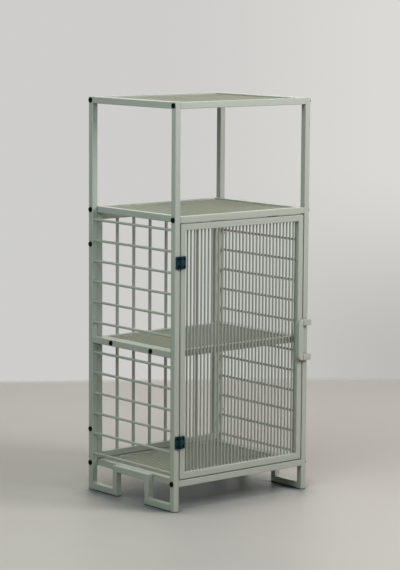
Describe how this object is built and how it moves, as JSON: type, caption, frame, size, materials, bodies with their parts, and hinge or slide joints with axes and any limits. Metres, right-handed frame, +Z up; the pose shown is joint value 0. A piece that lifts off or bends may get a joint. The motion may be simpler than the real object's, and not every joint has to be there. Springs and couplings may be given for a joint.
{
  "type": "metal storage cabinet",
  "caption": "Tall storage cabinet of powder-coated square steel tube: open top shelf over a caged cupboard with rod shelves, wire sides, barred back and a hinged door of thin upright rods.",
  "frame": {"origin": "on the floor, at the middle of the cabinet's bounding box", "axes": "+X to the right seen from the front, +Y to the back, +Z up"},
  "size_m": [0.5528, 0.445, 1.245],
  "materials": {
    "frame_coat": "sage grey-green satin powder coat",
    "rod_coat": "sage grey-green satin powder coat, thinner on the rods",
    "hinge_dark": "dark blue-black moulded block hinge",
    "bolt_black": "black oxide steel",
    "bright_steel": "zinc-plated steel",
    "pad_rubber": "black rubber strip"
  },
  "bodies": {
    "cabinet": {"back_panel_bars": "frame_coat", "back_panel_bottom_rail": "frame_coat", "back_panel_left_stile": "frame_coat", "back_panel_right_stile": "frame_coat", "back_panel_top_rail": "frame_coat", "bottom_tray_front_rail": "frame_coat", "bottom_tray_left_rail": "frame_coat", "bottom_tray_rear_rail": "frame_coat", "bottom_tray_right_rail": "frame_coat", "bottom_tray_rods": "rod_coat", "foot_pads": "pad_rubber", "frame_bolts": "bolt_black", "hinge_pins": "bright_steel", "hinge_post_leaves": "hinge_dark", "hinge_post_screws": "bolt_black", "left_foot_arch_rail": "frame_coat", "left_foot_runners": "frame_coat", "left_foot_uprights": "frame_coat", "left_front_post": "frame_coat", "left_middle_rail": "frame_coat", "left_rear_post": "frame_coat", "left_top_rail": "frame_coat", "left_wires": "frame_coat", "middle_tray_front_rail": "frame_coat", "middle_tray_left_rail": "frame_coat", "middle_tray_rear_rail": "frame_coat", "middle_tray_right_rail": "frame_coat", "middle_tray_rods": "rod_coat", "post_caps": "frame_coat", "right_foot_arch_rail": "frame_coat", "right_foot_runners": "frame_coat", "right_foot_uprights": "frame_coat", "right_front_post": "frame_coat", "right_middle_rail": "frame_coat", "right_rear_post": "frame_coat", "right_top_rail": "frame_coat", "right_wires": "frame_coat", "second_tray_front_rail": "frame_coat", "second_tray_left_rail": "frame_coat", "second_tray_rear_rail": "frame_coat", "second_tray_right_rail": "frame_coat", "second_tray_rods": "rod_coat", "threaded_nuts": "bright_steel", "top_tray_front_rail": "frame_coat", "top_tray_left_rail": "frame_coat", "top_tray_rear_rail": "frame_coat", "top_tray_right_rail": "frame_coat", "top_tray_rods": "rod_coat", "tray_end_plugs": "bright_steel"},
    "door": {"catch_magnets": "bright_steel", "door_bottom_rail": "frame_coat", "door_left_stile": "frame_coat", "door_right_stile": "frame_coat", "door_rods": "rod_coat", "door_top_rail": "frame_coat", "handle_grip": "frame_coat", "handle_plate": "frame_coat", "handle_stops": "frame_coat", "hinge_door_leaves": "hinge_dark", "hinge_door_screws": "bolt_black"}
  },
  "joints": [
    {"name": "door_hinge", "type": "hinge", "parent": "cabinet", "child": "door", "pos_m": [-0.2505, -0.2098, 0.49], "axis": [0, 0, -1], "range_deg": [0, 180]}
  ]
}
